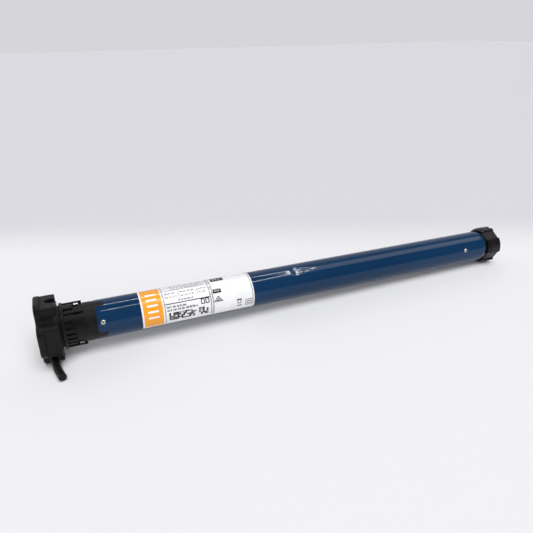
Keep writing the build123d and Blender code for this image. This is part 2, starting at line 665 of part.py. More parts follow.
def gearbox_end():
    body = rod(END_X0, END_X1, BORE_R - SNUG)
    body -= rod(END_X0 - 1, END_X0 + 6.0, CARRIER_R + 1.0)
    body -= rod(END_X0 - 1, END_X1 + 1, OUTPUT_R + 2.0)
    for angle in range(0, 360, 45):
        y, z = at_angle(15.6, angle)
        body -= rod(END_X0 + 26, END_X1 + 1, 2.6, y, z)
    return body - rivet_holes(REAR_RIVET_X)


def output_bush():
    return pipe(END_X0 + 8.0, END_X1 - 1.0, OUTPUT_R + 2.0 - SNUG, OUTPUT_R + FIT)


# ---- drive wheel --------------------------------------------------------------------
def wheel_blank():
    """Round blank with a lead-in ramp, cut back to a flat between each pair of lands."""
    x0, ramp_x1 = WHEEL_X0 + 1.6, WHEEL_X0 + 1.6 + WHEEL_RAMP
    profile = Polygon((x0, 0), (x0, WHEEL_LAND_R - 2.0), (ramp_x1, WHEEL_LAND_R),
                      (WHEEL_X1 - 0.8, WHEEL_LAND_R), (WHEEL_X1, WHEEL_LAND_R - 0.8), (WHEEL_X1, 0),
                      align=None)
    blank = revolve(profile, Axis.X)
    starts = [angle - arc / 2 for angle, arc in WHEEL_LANDS]
    ends = [angle + arc / 2 for angle, arc in WHEEL_LANDS]
    for end, start in zip(ends, starts[1:] + [starts[0] + 360]):
        centre, arc = (start + end) / 2, start - end
        outside = block(WHEEL_X0 - 1, WHEEL_X1 + 1, -40, -WHEEL_FLAT_R, -40, 40)
        corners = pipe(WHEEL_X0 - 1, WHEEL_X1 + 1, 40, WHEEL_STEP_R)
        wedge = sector(WHEEL_X0 - 1, WHEEL_X1 + 1, 40, 1, centre, arc)
        blank -= (around(outside, centre) + corners) & wedge
    for angle in WHEEL_NOTCHES:
        blank -= sector(WHEEL_X1 - 7.0, WHEEL_X1 + 1, 40, WHEEL_LAND_R - 1.8, angle, 9)
    return blank


def drive_wheel():
    """Adapter with four raised lands that turns the shutter tube."""
    wheel = wheel_blank() + rod(WHEEL_X0, WHEEL_X0 + 2.0, WHEEL_SKIRT_R)
    # hollow end: a hub for the shaft joined to the rim by eight ribs
    hollow = pipe(WHEEL_X0 + 6.0, WHEEL_X1 + 1, 19.4, 12.5)
    rib = block(WHEEL_X0, WHEEL_X1 + 2, -20, -12, -1.0, 1.0)
    for k in range(8):
        hollow -= around(rib, WHEEL_LANDS[0][0] + 45 * k)
    wheel -= hollow
    shaft_hole = rod(WHEEL_X0 - 1, WHEEL_X1 - 5.0, OUTPUT_R + SNUG)
    shaft_hole -= block(WHEEL_X0 - 1, WHEEL_X1, SHAFT_FLAT + SNUG, 9, -9, 9)
    shaft_hole -= block(WHEEL_X0 - 1, WHEEL_X1, -9, -SHAFT_FLAT - SNUG, -9, 9)
    wheel -= shaft_hole
    wheel -= rod(WHEEL_X1 - 6, WHEEL_X1 + 1, 2.2)
    return wheel - rod(WHEEL_X1 - 3.0, WHEEL_X1 + 1, 6.0)


def wheel_screw():
    x = WHEEL_X1 - 3.0
    screw = rod(x, x + 2.2, 4.2) + rod(x - 12.0, x, 1.65)
    socket = Plane.YZ.offset(x + 0.9) * RegularPolygon(1.6, 6)
    return screw - extrude(socket, 3)


# ---- assembly -----------------------------------------------------------------------
def build():
    nodes = {
        "head_housing": head_housing(),
        "head_cover": head_cover(),
        "head_screws": head_screws(),
        "button_contact_plate": button_plate(),
        "cable_gland": cable_gland(),
        "supply_cable": supply_cable(),
        "cable_plug": cable_plug(),
        "crown": crown(),
        "crown_pinion": crown_pinion(),
        "pinion_shaft": pinion_shaft(),
        "cam_gear": cam_gear(),
        "cam_shaft": cam_shaft(),
        "limit_cams": limit_cams(),
        "microswitches": microswitches(),
        "limit_chassis": limit_chassis(),
        "collar": collar(),
        "motor_tube": motor_tube(),
        "tube_rivets": tube_rivets(),
        "rating_label": rating_label(),
        "capacitor": capacitor(),
        "capacitor_cradle": capacitor_cradle(),
        "motor_leads": motor_leads(),
        "front_shield": front_shield(),
        "rear_shield": rear_shield(),
        "stator_core": stator_core(),
        "stator_windings": stator_windings(),
        "rotor_core": rotor_core(),
        "rotor_shaft": rotor_shaft(),
        "rotor_bushes": rotor_bushes(),
        "brake_housing": brake_housing(),
        "brake_plate": brake_plate(),
        "brake_disc": brake_disc(),
        "brake_pressure_plate": brake_pressure_plate(),
        "brake_spring": brake_spring(),
        "ring_gear": ring_gear(),
        "sun_gear_2": sun_gear(1),
        "sun_gear_3": sun_gear(2),
        "output_shaft": output_shaft(),
        "gearbox_end": gearbox_end(),
        "output_bush": output_bush(),
        "drive_wheel": drive_wheel(),
        "wheel_screw": wheel_screw(),
    }
    for name, side, x0 in (("up", -1, SWITCH_X[0]), ("down", 1, SWITCH_X[1])):
        nodes[f"limit_button_{name}"] = button(side)
        nodes[f"button_spring_{name}"] = button_spring(side)
        nodes[f"switch_plunger_{name}"] = switch_plunger(x0)
    for stage in range(len(STAGES)):
        nodes[f"carrier_{stage + 1}"] = carrier(stage)
        for mark, (angle, y, z) in zip("abc", planet_places()):
            nodes[f"planet_{stage + 1}{mark}"] = planet(stage, angle, y, z)
    return nodes


os.makedirs("parts", exist_ok=True)
for name, shape in build().items():
    export_step(shape, f"parts/{name}.step")
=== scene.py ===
import bpy
import bmesh
import json
import math
import random
import numpy as np
from mathutils import Matrix, Vector

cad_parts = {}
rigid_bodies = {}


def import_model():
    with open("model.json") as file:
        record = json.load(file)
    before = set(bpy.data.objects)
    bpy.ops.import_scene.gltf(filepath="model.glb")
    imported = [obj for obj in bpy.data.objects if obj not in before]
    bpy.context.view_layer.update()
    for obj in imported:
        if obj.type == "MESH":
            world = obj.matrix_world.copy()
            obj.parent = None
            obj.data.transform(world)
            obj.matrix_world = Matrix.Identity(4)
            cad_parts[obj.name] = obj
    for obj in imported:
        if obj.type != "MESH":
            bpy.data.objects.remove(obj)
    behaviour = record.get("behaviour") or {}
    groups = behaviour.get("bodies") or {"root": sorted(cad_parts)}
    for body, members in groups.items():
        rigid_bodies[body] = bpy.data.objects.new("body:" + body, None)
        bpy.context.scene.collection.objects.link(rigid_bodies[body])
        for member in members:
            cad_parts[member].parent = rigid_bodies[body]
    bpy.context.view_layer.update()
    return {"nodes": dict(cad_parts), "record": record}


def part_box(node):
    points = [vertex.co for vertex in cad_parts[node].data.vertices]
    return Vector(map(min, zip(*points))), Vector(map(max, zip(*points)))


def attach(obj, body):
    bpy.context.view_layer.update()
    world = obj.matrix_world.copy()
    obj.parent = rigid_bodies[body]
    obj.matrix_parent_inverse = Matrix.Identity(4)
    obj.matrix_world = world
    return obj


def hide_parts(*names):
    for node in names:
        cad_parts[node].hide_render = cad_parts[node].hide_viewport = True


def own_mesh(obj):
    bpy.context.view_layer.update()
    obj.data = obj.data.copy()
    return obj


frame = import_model()
NODES = frame["nodes"]
BODY = "motor_body"
MM = 0.001

# ---- sizes read from the frame (metres); angles run from the front (-Y) towards the top ----
TUBE_LOW, TUBE_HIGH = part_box("motor_tube")
TUBE_X0, TUBE_X1 = TUBE_LOW[0], TUBE_HIGH[0]
TUBE_R = TUBE_HIGH[2]
LABEL_X0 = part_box("rating_label")[0][0]
LABEL_R = TUBE_R + 0.14 * MM
COVER_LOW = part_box("head_cover")[0]
WHEEL_LOW, WHEEL_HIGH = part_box("drive_wheel")

# ---- camera -----------------------------------------------------------------------------
CAMERA_PLACE = (TUBE_X0 - 0.0157, -0.5338, 0.2968)
VIEW = Vector((0.35714, 0.83449, -0.4196))
SENSOR, LENS = 36.0, 33.771                     # mm
CLIP_NEAR, CLIP_FAR = 0.01, 50.0

# ---- studio -----------------------------------------------------------------------------
FLOOR_REACH = 12.0
# the floor's grey behind the motor is painted shade, not a change in the paper
FLOOR_FRONT, FLOOR_BACK_SHADE = (0.80, 0.80, 0.815), (0.64, 0.635, 0.665)
FLOOR_SHADE_FADE = (0.27, 0.47)      # distance behind the head over which the painted shade greys the floor
FLOOR_ROUGH, FLOOR_SPECULAR = 0.8, 0.1
FLOOR_GAP = 0.3 * MM
ROOM_FRONT, ROOM_BACK = (0.12, 0.12, 0.13), (0.67, 0.665, 0.70)
ROOM_FADE = (0.6, 0.8)         # from 0 at the front to 1 at the back, where dark turns pale
SOFT_SUNS = (("soft_key", 2.1, 66.0, 40.0), ("front_fill", 1.34, 36.0, 60.0))
BAND_PLACE, BAND_LENGTH, BAND_WIDTH = Vector((1.85, -0.17, 1.9)), 1.5, 1.1
BAND_RADIANCE = 1.95
# corners of a loop of strip lamps over the tube: place along it and turn round it
STRIP_LOOP = ((0.02, 111.0), (0.82, 108.0), (0.82, 79.5), (0.62, 73.0), (0.02, 73.0))
STRIP_DISTANCE, STRIP_RADIANCE, STRIP_WIDTH = 1.2, 45.0, 0.03

# ---- painted tube -----------------------------------------------------------------------
TUBE_WALL = 0.9 * MM
RIM_LENGTH, RIM_DROP = 0.4 * MM, 0.25 * MM              # the eased edge at each end
NOTCHES = ((78.5, 9.6), (-26.0, 9.1), (183.0, 6.1))     # angle and length in mm
NOTCH_ARC = 22.4
DENT_X, DENT_ANGLE = TUBE_X0 + 249.0 * MM, 61.0
DENT_NEAR, DENT_FAR, DENT_DEPTH = 8.0 * MM, 36.0 * MM, 1.1 * MM
DENT_WIDE, DENT_NARROW, DENT_TAPER = 7.0 * MM, 2.2 * MM, 13.0 * MM
# stops in the tube's mesh
PLAIN_FROM, PLAIN_TO, PLAIN_STOPS = TUBE_X0 + 12 * MM, TUBE_X1 - 6 * MM, 60
PLAIN_STEP = 3.0                                        # degrees
DENT_STOPS_ALONG, DENT_STOPS_ROUND = 72, 49
LEAST_ALONG, LEAST_ROUND = 0.1 * MM, 0.25
SHARP_EDGE = 35                                         # degrees

# ---- supply cable, as routed in the CAD model (mm) --------------------------------------
CABLE_RADIUS = 4.3 * MM
CABLE_ROUTE = ((12.2, -2.4, -28.0), (12.2, -20.0, -28.0), (12.8, -31.0, -30.7),
               (14.7, -42.0, -31.3), (17.8, -53.5, -31.3))

# ---- label print: places are mm along the label and degrees round it --------------------
DEGREES_PER_MM = math.degrees(MM / TUBE_R)
PRINT_SEED = 7
FACET_ROUND, FACET_LINE = 3.0, 1.2      # longest facet, in degrees and in mm
INKS = {                                # height over the label in mm, linear colour
    "label_panel": (0.02, (0.86, 0.33, 0.006)),
    "label_ink_dark": (0.05, (0.012, 0.010, 0.012)),
    "label_ink_grey": (0.05, (0.10, 0.095, 0.10)),
    "label_ink_faint": (0.04, (0.34, 0.33, 0.35)),
    "label_ink_white": (0.05, (0.82, 0.82, 0.82)),
}
PANEL_X0, PANEL_X1 = 1.9, 24.4
TABLE_X0, TABLE_X1 = 27.6, 81.6
SIGN_X0, SIGN_X1 = 7.0, 19.3
SIGN_ANGLES, SIGN_SLAT = (0.5, 18.5, 36.5, 54.5, 72.5), 3.0
WORD_LENGTHS, WORD_GAP = (1.2, 4.2), 1.1
LETTER_WIDTHS, LETTER_GAP = (0.45, 0.85), 0.28
LETTER_HEIGHTS = (0.72, 0.72, 1.0)
CODE_X0, CODE_X1, CODE_COLS = 30.6, 78.4, 20
CODE_LOW, CODE_HIGH, CODE_ROWS = -22.5, 5.0, 5
CODE_BLANK, CODE_FAINT, CODE_GREY, CODE_FILL = 0.28, 0.45, 0.60, 0.98

# ---- finishes ---------------------------------------------------------------------------
NOISE_LOW, NOISE_HIGH = 0.3, 0.7
DUST_COLOR, DUST_SCALE, DUST_FROM, DUST_FULL = (0.42, 0.42, 0.41, 1), 0.35, 0.64, 0.72
BUMP_DEPTH = 0.15 * MM
# name: linear colour, (roughness, its spread), (mottle, its scale), (grain, its scale), more
FINISHES = {
    "housing_plastic": ((0.0055, 0.0048, 0.0050), (0.45, 0.08), (0.25, 45), (0.35, 2600),
                        dict(dust=0.03, specular=0.20)),
    "crown_plastic": ((0.0045, 0.004, 0.0042), (0.38, 0.08), (0.25, 60), (0.25, 2600),
                      dict(dust=0.03, specular=0.19)),
    # the same plastic as crown_plastic, kept lighter and glossier for the drive wheel alone: the
    # difference between the two copies is painted light and shade
    "crown_plastic_lit_copy": ((0.0062, 0.0056, 0.0060), (0.38, 0.08), (0.25, 60), (0.25, 2600),
                      dict(dust=0.03, specular=0.26)),
    "button_up": ((0.8, 0.8, 0.77), (0.3, 0.05), (0.05, 90), (0.1, 2000), {}),
    "button_down": ((0.85, 0.56, 0.03), (0.3, 0.05), (0.08, 90), (0.1, 2000), {}),
    "cable_sheath": ((0.005, 0.0048, 0.0048), (0.5, 0.1), (0.3, 120), (0.4, 1800),
                     dict(dust=0.04, specular=0.22, stretch=(1, 0.25, 1))),
    "rubber": ((0.014, 0.014, 0.014), (0.65, 0.08), (0.3, 90), (0.3, 2200), {}),
    "tube_paint": ((0.003, 0.0265, 0.075), (0.09, 0.015), (0.10, 16), (0.015, 900),
                   dict(dust=0.02, specular=0.26, stretch=(0.35, 1, 1))),
    "rivet_metal": ((0.66, 0.66, 0.60), (0.38, 0.12), (0.15, 500), (0.2, 3000),
                    dict(metallic=0.85)),
    "label": ((0.80, 0.80, 0.81), (0.24, 0.05), (0.03, 40), (0.03, 900),
              dict(coat=0.25, coat_rough=0.1)),
    "zinc_steel": ((0.58, 0.58, 0.56), (0.33, 0.1), (0.1, 300), (0.1, 2500),
                   dict(metallic=1.0)),
    "spring_steel": ((0.42, 0.42, 0.43), (0.3, 0.1), (0.15, 500), (0.1, 3000),
                     dict(metallic=1.0)),
    "lamination": ((0.2, 0.2, 0.21), (0.5, 0.1), (0.3, 700), (0.5, 1600),
                   dict(metallic=0.7, stretch=(6, 1, 1))),
    "copper": ((0.62, 0.26, 0.10), (0.3, 0.1), (0.25, 900), (0.6, 1800),
               dict(metallic=0.6, stretch=(0.2, 1, 1))),
    "cast_alloy": ((0.5, 0.5, 0.51), (0.48, 0.1), (0.15, 200), (0.35, 2200),
                   dict(metallic=0.9)),
    "steel": ((0.52, 0.53, 0.54), (0.25, 0.08), (0.1, 300), (0.12, 2600),
              dict(metallic=1.0, stretch=(6, 1, 1))),
    "bronze": ((0.52, 0.33, 0.12), (0.42, 0.1), (0.2, 900), (0.4, 3000), dict(metallic=0.9)),
    "gear_steel": ((0.33, 0.34, 0.35), (0.32, 0.1), (0.2, 400), (0.15, 2400),
                   dict(metallic=1.0)),
    "gear_plastic": ((0.72, 0.70, 0.62), (0.42, 0.06), (0.06, 200), (0.15, 2000), {}),
    "cap_plastic": ((0.56, 0.56, 0.53), (0.4, 0.06), (0.08, 80), (0.15, 2000), {}),
    "unit_plastic": ((0.05, 0.06, 0.075), (0.5, 0.08), (0.15, 90), (0.3, 2200), {}),
    "switch_plastic": ((0.02, 0.02, 0.025), (0.35, 0.06), (0.15, 200), (0.15, 2200), {}),
    "wire": ((0.25, 0.06, 0.02), (0.4, 0.08), (0.5, 30), (0.1, 1800), {}),
    "lining": ((0.055, 0.045, 0.04), (0.8, 0.08), (0.35, 900), (0.8, 1500), {}),
}
INK_GLOSS, INK_MOTTLE, INK_GRAIN = (0.25, 0.04), (0.04, 60), (0.03, 900)


def on_tube(x, angle, radius):
    """The point at x along the motor, at an angle and a distance from its axis."""
    a = math.radians(angle)
    return Vector((x, -radius * math.cos(a), radius * math.sin(a)))


def wrapped(angle):
    """The same angle between -180 and 180."""
    return (angle + 180) % 360 - 180


def add_object(name, data):
    added = bpy.data.objects.new(name, data)
    bpy.context.collection.objects.link(added)
    return added


# ---- camera, floor and light ------------------------------------------------------------
def make_camera():
    data = bpy.data.cameras.new("camera")
    data.sensor_width = SENSOR
    data.lens = LENS
    data.clip_start, data.clip_end = CLIP_NEAR, CLIP_FAR
    camera = add_object("camera", data)
    camera.location = CAMERA_PLACE
    camera.rotation_euler = VIEW.to_track_quat("-Z", "Y").to_euler()
    bpy.context.scene.camera = camera


def card_light(name, middle, along, length, width, radiance):
    """A lamp facing the motor that is only seen mirrored in it; along is its long side."""
    data = bpy.data.lights.new(name, "AREA")
    data.shape = "RECTANGLE"
    data.size, data.size_y = length, width
    data.energy = radiance * math.pi * length * width
    light = add_object(name, data)
    light.location = middle
    back = Vector((0, middle.y, middle.z)).normalized()
    side = (along - along.dot(back) * back).normalized()
    light.rotation_euler = Matrix((side, back.cross(side), back)).transposed().to_euler()
    light.visible_diffuse = False


def soft_sun(name, strength, turn, spread):
    """A wide soft light from the front, turn degrees up, even over the whole floor."""
    data = bpy.data.lights.new(name, "SUN")
    data.energy = strength
    data.angle = math.radians(spread)
    light = add_object(name, data)
    light.rotation_euler = (math.radians(90 - turn), 0, 0)
    light.visible_glossy = False


def make_lights():
    for name, strength, turn, spread in SOFT_SUNS:
        soft_sun(name, strength, turn, spread)
    card_light("soft_band", BAND_PLACE, Vector((1, 0, 0)), BAND_LENGTH, BAND_WIDTH, BAND_RADIANCE)
    corners = [on_tube(x, turn, STRIP_DISTANCE) for x, turn in STRIP_LOOP]
    for a, b in zip(corners, corners[1:]):
        card_light("strip", (a + b) / 2, b - a, (b - a).length, STRIP_WIDTH, STRIP_RADIANCE)
    bpy.context.scene.view_settings.view_transform = "Standard"


def floor_material():
    """Pale paper with painted shade: its colour turns a little greyer well behind the motor."""
    material = bpy.data.materials.new("floor_paper_shaded")
    tree, shader, make = node_maker(material)
    link = tree.links.new
    place = make("ShaderNodeTexCoord")
    along = make("ShaderNodeVectorMath", operation="DOT_PRODUCT")
    along.inputs[1].default_value = Vector((VIEW.x, VIEW.y, 0)).normalized()
    link(place.outputs["Object"], along.inputs[0])
    ramp = make("ShaderNodeValToRGB")
    ramp.color_ramp.interpolation = "EASE"
    ramp.color_ramp.elements[0].color = (*FLOOR_FRONT, 1)
    ramp.color_ramp.elements[1].color = (*FLOOR_BACK_SHADE, 1)
    span = map_values(make, *FLOOR_SHADE_FADE, 0.0, 1.0)
    link(along.outputs["Value"], span.inputs["Value"])
    link(span.outputs["Result"], ramp.inputs["Fac"])
    link(ramp.outputs["Color"], shader.inputs["Base Color"])
    shader.inputs["Roughness"].default_value = FLOOR_ROUGH
    shader.inputs["Specular IOR Level"].default_value = FLOOR_SPECULAR
    return material


def make_stage():
    """A pale floor that the head's lower lobe and the drive wheel both touch."""
    drop = (WHEEL_LOW[2] - COVER_LOW[2]) / (WHEEL_HIGH[0] - COVER_LOW[0])
    reach = FLOOR_REACH
    mesh = bpy.data.meshes.new("floor")
    corners = [(-reach, -reach, 0), (reach, -reach, 0), (reach, reach, 0), (-reach, reach, 0)]
    mesh.from_pydata(corners, [], [(0, 1, 2, 3)])
    floor = add_object("floor", mesh)
    floor.rotation_euler = (0, -math.atan(drop), 0)
    floor.location = (COVER_LOW[0], 0, COVER_LOW[2] - FLOOR_GAP)
    mesh.materials.append(floor_material())


def make_world():
    """A pale room behind the motor and a darker one in front of it."""
    world = bpy.data.worlds.new("studio")
    bpy.context.scene.world = world
    world.use_nodes = True
    tree = world.node_tree
    link = tree.links.new
    place = tree.nodes.new("ShaderNodeTexCoord")
    parts = tree.nodes.new("ShaderNodeSeparateXYZ")
    link(place.outputs["Generated"], parts.inputs["Vector"])
    ramp = tree.nodes.new("ShaderNodeValToRGB")
    front, back = ramp.color_ramp.elements
    front.position, back.position = ROOM_FADE
    front.color, back.color = (*ROOM_FRONT, 1), (*ROOM_BACK, 1)
    span = map_values(tree.nodes.new, -1.0, 1.0, 0.0, 1.0)
    link(parts.outputs["Y"], span.inputs["Value"])
    link(span.outputs["Result"], ramp.inputs["Fac"])
    link(ramp.outputs["Color"], tree.nodes["Background"].inputs["Color"])
    tree.nodes["Background"].inputs["Strength"].default_value = 1.0


# ---- materials --------------------------------------------------------------------------
def node_maker(material):
    """The material's tree and shader, and a function that adds a node with its settings."""
    material.use_nodes = True
    tree = material.node_tree
    shader = tree.nodes["Principled BSDF"]

    def make(kind, **values):
        node = tree.nodes.new(kind)
        for key, value in values.items():
            if hasattr(node, key):
                setattr(node, key, value)
            else:
                node.inputs[key.replace("_", " ")].default_value = value
        return node
    return tree, shader, make


def map_values(make, low, high, to_low, to_high):
    """A node that maps values between low and high to another range."""
    node = make("ShaderNodeMapRange")
    node.inputs["From Min"].default_value, node.inputs["From Max"].default_value = low, high
    node.inputs["To Min"].default_value, node.inputs["To Max"].default_value = to_low, to_high
    return node


def surface(name, color, gloss, mottle, grain, metallic=0.0, coat=0.0, coat_rough=0.08,
            dust=0.0, specular=0.5, stretch=(1, 1, 1)):
    """A procedural finish: mottled colour, uneven gloss, fine grain and a little dust.

    color is linear. gloss is the roughness and how far it strays, mottle how far the colour
    strays and the noise's scale, grain the bump's strength and scale. stretch scales the
    pattern along X, Y and Z, for brushed or rolled surfaces."""
    rough, spread = gloss
    mottle_depth, mottle_scale = mottle
    grain_strength, grain_scale = grain
    material = bpy.data.materials.new(name)
    tree, shader, make = node_maker(material)
    link = tree.links.new
    place = make("ShaderNodeTexCoord")
    scaled = make("ShaderNodeMapping")
    scaled.inputs["Scale"].default_value = stretch
    link(place.outputs["Object"], scaled.inputs["Vector"])

    broad = make("ShaderNodeTexNoise", Scale=mottle_scale, Detail=5.0, Roughness=0.6)
    link(scaled.outputs["Vector"], broad.inputs["Vector"])
    ramp = make("ShaderNodeValToRGB")
    low, high = ramp.color_ramp.elements
    low.position, high.position = NOISE_LOW, NOISE_HIGH
    low.color = (*(c * (1 - mottle_depth) for c in color), 1)
    high.color = (*(min(1.0, c * (1 + mottle_depth) + 0.004 * mottle_depth) for c in color), 1)
    link(broad.outputs["Fac"], ramp.inputs["Fac"])
    uneven = map_values(make, NOISE_LOW, NOISE_HIGH, max(0.02, rough - spread),
                        min(1.0, rough + spread))
    link(broad.outputs["Fac"], uneven.inputs["Value"])

    color_out, rough_out = ramp.outputs["Color"], uneven.outputs["Result"]
    if dust:
        specks = make("ShaderNodeTexNoise", Scale=grain_scale * DUST_SCALE, Detail=4.0,
                      Roughness=0.8)
        link(place.outputs["Object"], specks.inputs["Vector"])
        mask = map_values(make, DUST_FROM, DUST_FULL, 0.0, dust)
        link(specks.outputs["Fac"], mask.inputs["Value"])
        mixed = make("ShaderNodeMix", data_type="RGBA")
        link(mask.outputs["Result"], mixed.inputs["Factor"])
        link(color_out, mixed.inputs[6])
        mixed.inputs[7].default_value = DUST_COLOR
        color_out = mixed.outputs[2]
        rougher = make("ShaderNodeMath", operation="ADD")
        link(rough_out, rougher.inputs[0])
        link(mask.outputs["Result"], rougher.inputs[1])
        rough_out = rougher.outputs["Value"]
    link(color_out, shader.inputs["Base Color"])
    link(rough_out, shader.inputs["Roughness"])

    fine = make("ShaderNodeTexNoise", Scale=grain_scale, Detail=3.0, Roughness=0.55)
    link(scaled.outputs["Vector"], fine.inputs["Vector"])
    bump = make("ShaderNodeBump", Strength=grain_strength)
    bump.inputs["Distance"].default_value = BUMP_DEPTH
    link(fine.outputs["Fac"], bump.inputs["Height"])
    link(bump.outputs["Normal"], shader.inputs["Normal"])
    shader.inputs["Metallic"].default_value = metallic
    shader.inputs["Specular IOR Level"].default_value = specular
    shader.inputs["Coat Weight"].default_value = coat
    shader.inputs["Coat Roughness"].default_value = coat_rough
    return material


def make_materials():
    """Makes every finish and gives each CAD node the one of its slot, but the drive wheel a
    lighter, glossier copy of the crown plastic, as painted light.
    """
    made = {name: surface(name, color, gloss, mottle, grain, **more)
            for name, (color, gloss, mottle, grain, more) in FINISHES.items()}
    for entry in frame["record"]["subparts"]:
        node = entry["node"]
        # the drive wheel takes the lighter copy of its plastic: painted light against the darker
        # crown
        finish = "crown_plastic_lit_copy" if node == "drive_wheel" else entry["material_slot"]
        NODES[node].data.materials.clear()
        NODES[node].data.materials.append(made[finish])
    return made


# ---- mesh helpers -----------------------------------------------------------------------
def new_piece(name, verts, faces, material):
    mesh = bpy.data.meshes.new(name)
    mesh.from_pydata([tuple(v) for v in verts], [], faces)
    mesh.validate()
    mesh.materials.append(material)
    piece = add_object(name, mesh)
    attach(piece, BODY)
    return piece


def clean_tube(piece):
    """Drops points cut out with the notches and shades smooth, apart from sharp edges."""
    bm = bmesh.new()
    bm.from_mesh(piece.data)
    bmesh.ops.delete(bm, geom=[v for v in bm.verts if not v.link_faces], context="VERTS")
    bmesh.ops.recalc_face_normals(bm, faces=bm.faces)
    for edge in bm.edges:
        edge.smooth = edge.is_boundary or edge.calc_face_angle(0) < math.radians(SHARP_EDGE)
    for face in bm.faces:
        face.smooth = True
    bm.to_mesh(piece.data)
    bm.free()


def face_outward(piece):
    """Turns every face away from the motor's axis."""
    bm = bmesh.new()
    bm.from_mesh(piece.data)
    inward = [f for f in bm.faces if f.normal.dot(Vector((0, *f.calc_center_median().yz))) < 0]
    bmesh.ops.reverse_faces(bm, faces=inward)
    bm.to_mesh(piece.data)
    bm.free()


# ---- painted tube -----------------------------------------------------------------------
def dent(x, angle):
    """How far the crimp pushes the wall in: steep at its near end, a narrow tail beyond."""
    past = max(0.0, x - DENT_X)
    u = (x - DENT_X) / (DENT_FAR if past else DENT_NEAR)
    half_width = DENT_NARROW + (DENT_WIDE - DENT_NARROW) * math.exp(-((past / DENT_TAPER) ** 2))
    v = math.radians(wrapped(angle - DENT_ANGLE)) * TUBE_R / half_width
    if abs(u) >= 1 or abs(v) >= 1:
        return 0.0
    along = (1 - abs(u)) ** 2 * (1 + 2 * abs(u))
    return DENT_DEPTH * along * (0.5 + 0.5 * math.cos(math.pi * v))


def in_notch(x, angle):
    return any(abs(wrapped(angle - centre)) < NOTCH_ARC / 2 and x < TUBE_X0 + length * MM
               for centre, length in NOTCHES)


def merged(values, least):
    """Sorted values with any nearer than least to the one before left out."""
    kept = []
    for value in sorted(float(v) for v in values):
        if not kept or value - kept[-1] > least:
            kept.append(value)
    return kept


def tube_stations():
    """Stops along the tube and round it: notch edges, a fine grid at the dent, even elsewhere."""
    xs = {TUBE_X0, TUBE_X0 + RIM_LENGTH, TUBE_X1 - RIM_LENGTH, TUBE_X1}
    xs |= {TUBE_X0 + length * MM for _, length in NOTCHES}
    xs |= set(np.linspace(PLAIN_FROM, PLAIN_TO, PLAIN_STOPS))
    xs |= set(np.linspace(DENT_X - DENT_NEAR, DENT_X + DENT_FAR, DENT_STOPS_ALONG))
    angles = list(np.arange(-180, 180, PLAIN_STEP))
    for centre, _ in NOTCHES:
        angles += [wrapped(centre - NOTCH_ARC / 2), wrapped(centre + NOTCH_ARC / 2)]
    reach = math.degrees(DENT_WIDE / TUBE_R)
    angles += list(np.linspace(DENT_ANGLE - reach, DENT_ANGLE + reach, DENT_STOPS_ROUND))
    return merged(xs, LEAST_ALONG), merged(set(np.round(angles, 3)), LEAST_ROUND)


def make_tube(material):
    """Steel tube with notches for the collar's tabs and the crimp pressed into its wall."""
    xs, angles = tube_stations()
    rows, cols = len(xs), len(angles)
    verts = []
    for inner in (False, True):
        for x in xs:
            rim = RIM_DROP if x in (xs[0], xs[-1]) and not inner else 0
            for angle in angles:
                radius = TUBE_R - (TUBE_WALL if inner else 0) - dent(x, angle) - rim
                verts.append(on_tube(x, angle, radius))

    def index(i, j, inner):
        return i * cols + j % cols + (rows * cols if inner else 0)

    def solid(i, j):
        if not 0 <= i < rows - 1:
            return False
        after = angles[(j + 1) % cols] + (360 if (j + 1) % cols == 0 else 0)
        return not in_notch((xs[i] + xs[i + 1]) / 2, (angles[j % cols] + after) / 2)

    faces = []
    for i in range(rows - 1):
        for j in range(cols):
            if not solid(i, j):
                continue
            corners = [(i, j), (i, j + 1), (i + 1, j + 1), (i + 1, j)]
            faces.append([index(*c, False) for c in corners])
            faces.append([index(*c, True) for c in reversed(corners)])
            beside = [(i - 1, j), (i, j + 1), (i + 1, j), (i, j - 1)]
            for a, b, cell in zip(corners, corners[1:] + corners[:1], beside):
                if not solid(*cell):
                    faces.append([index(*b, False), index(*a, False), index(*a, True),
                                  index(*b, True)])
    piece = new_piece("painted_tube", verts, faces, material)
    clean_tube(piece)
    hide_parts("motor_tube")


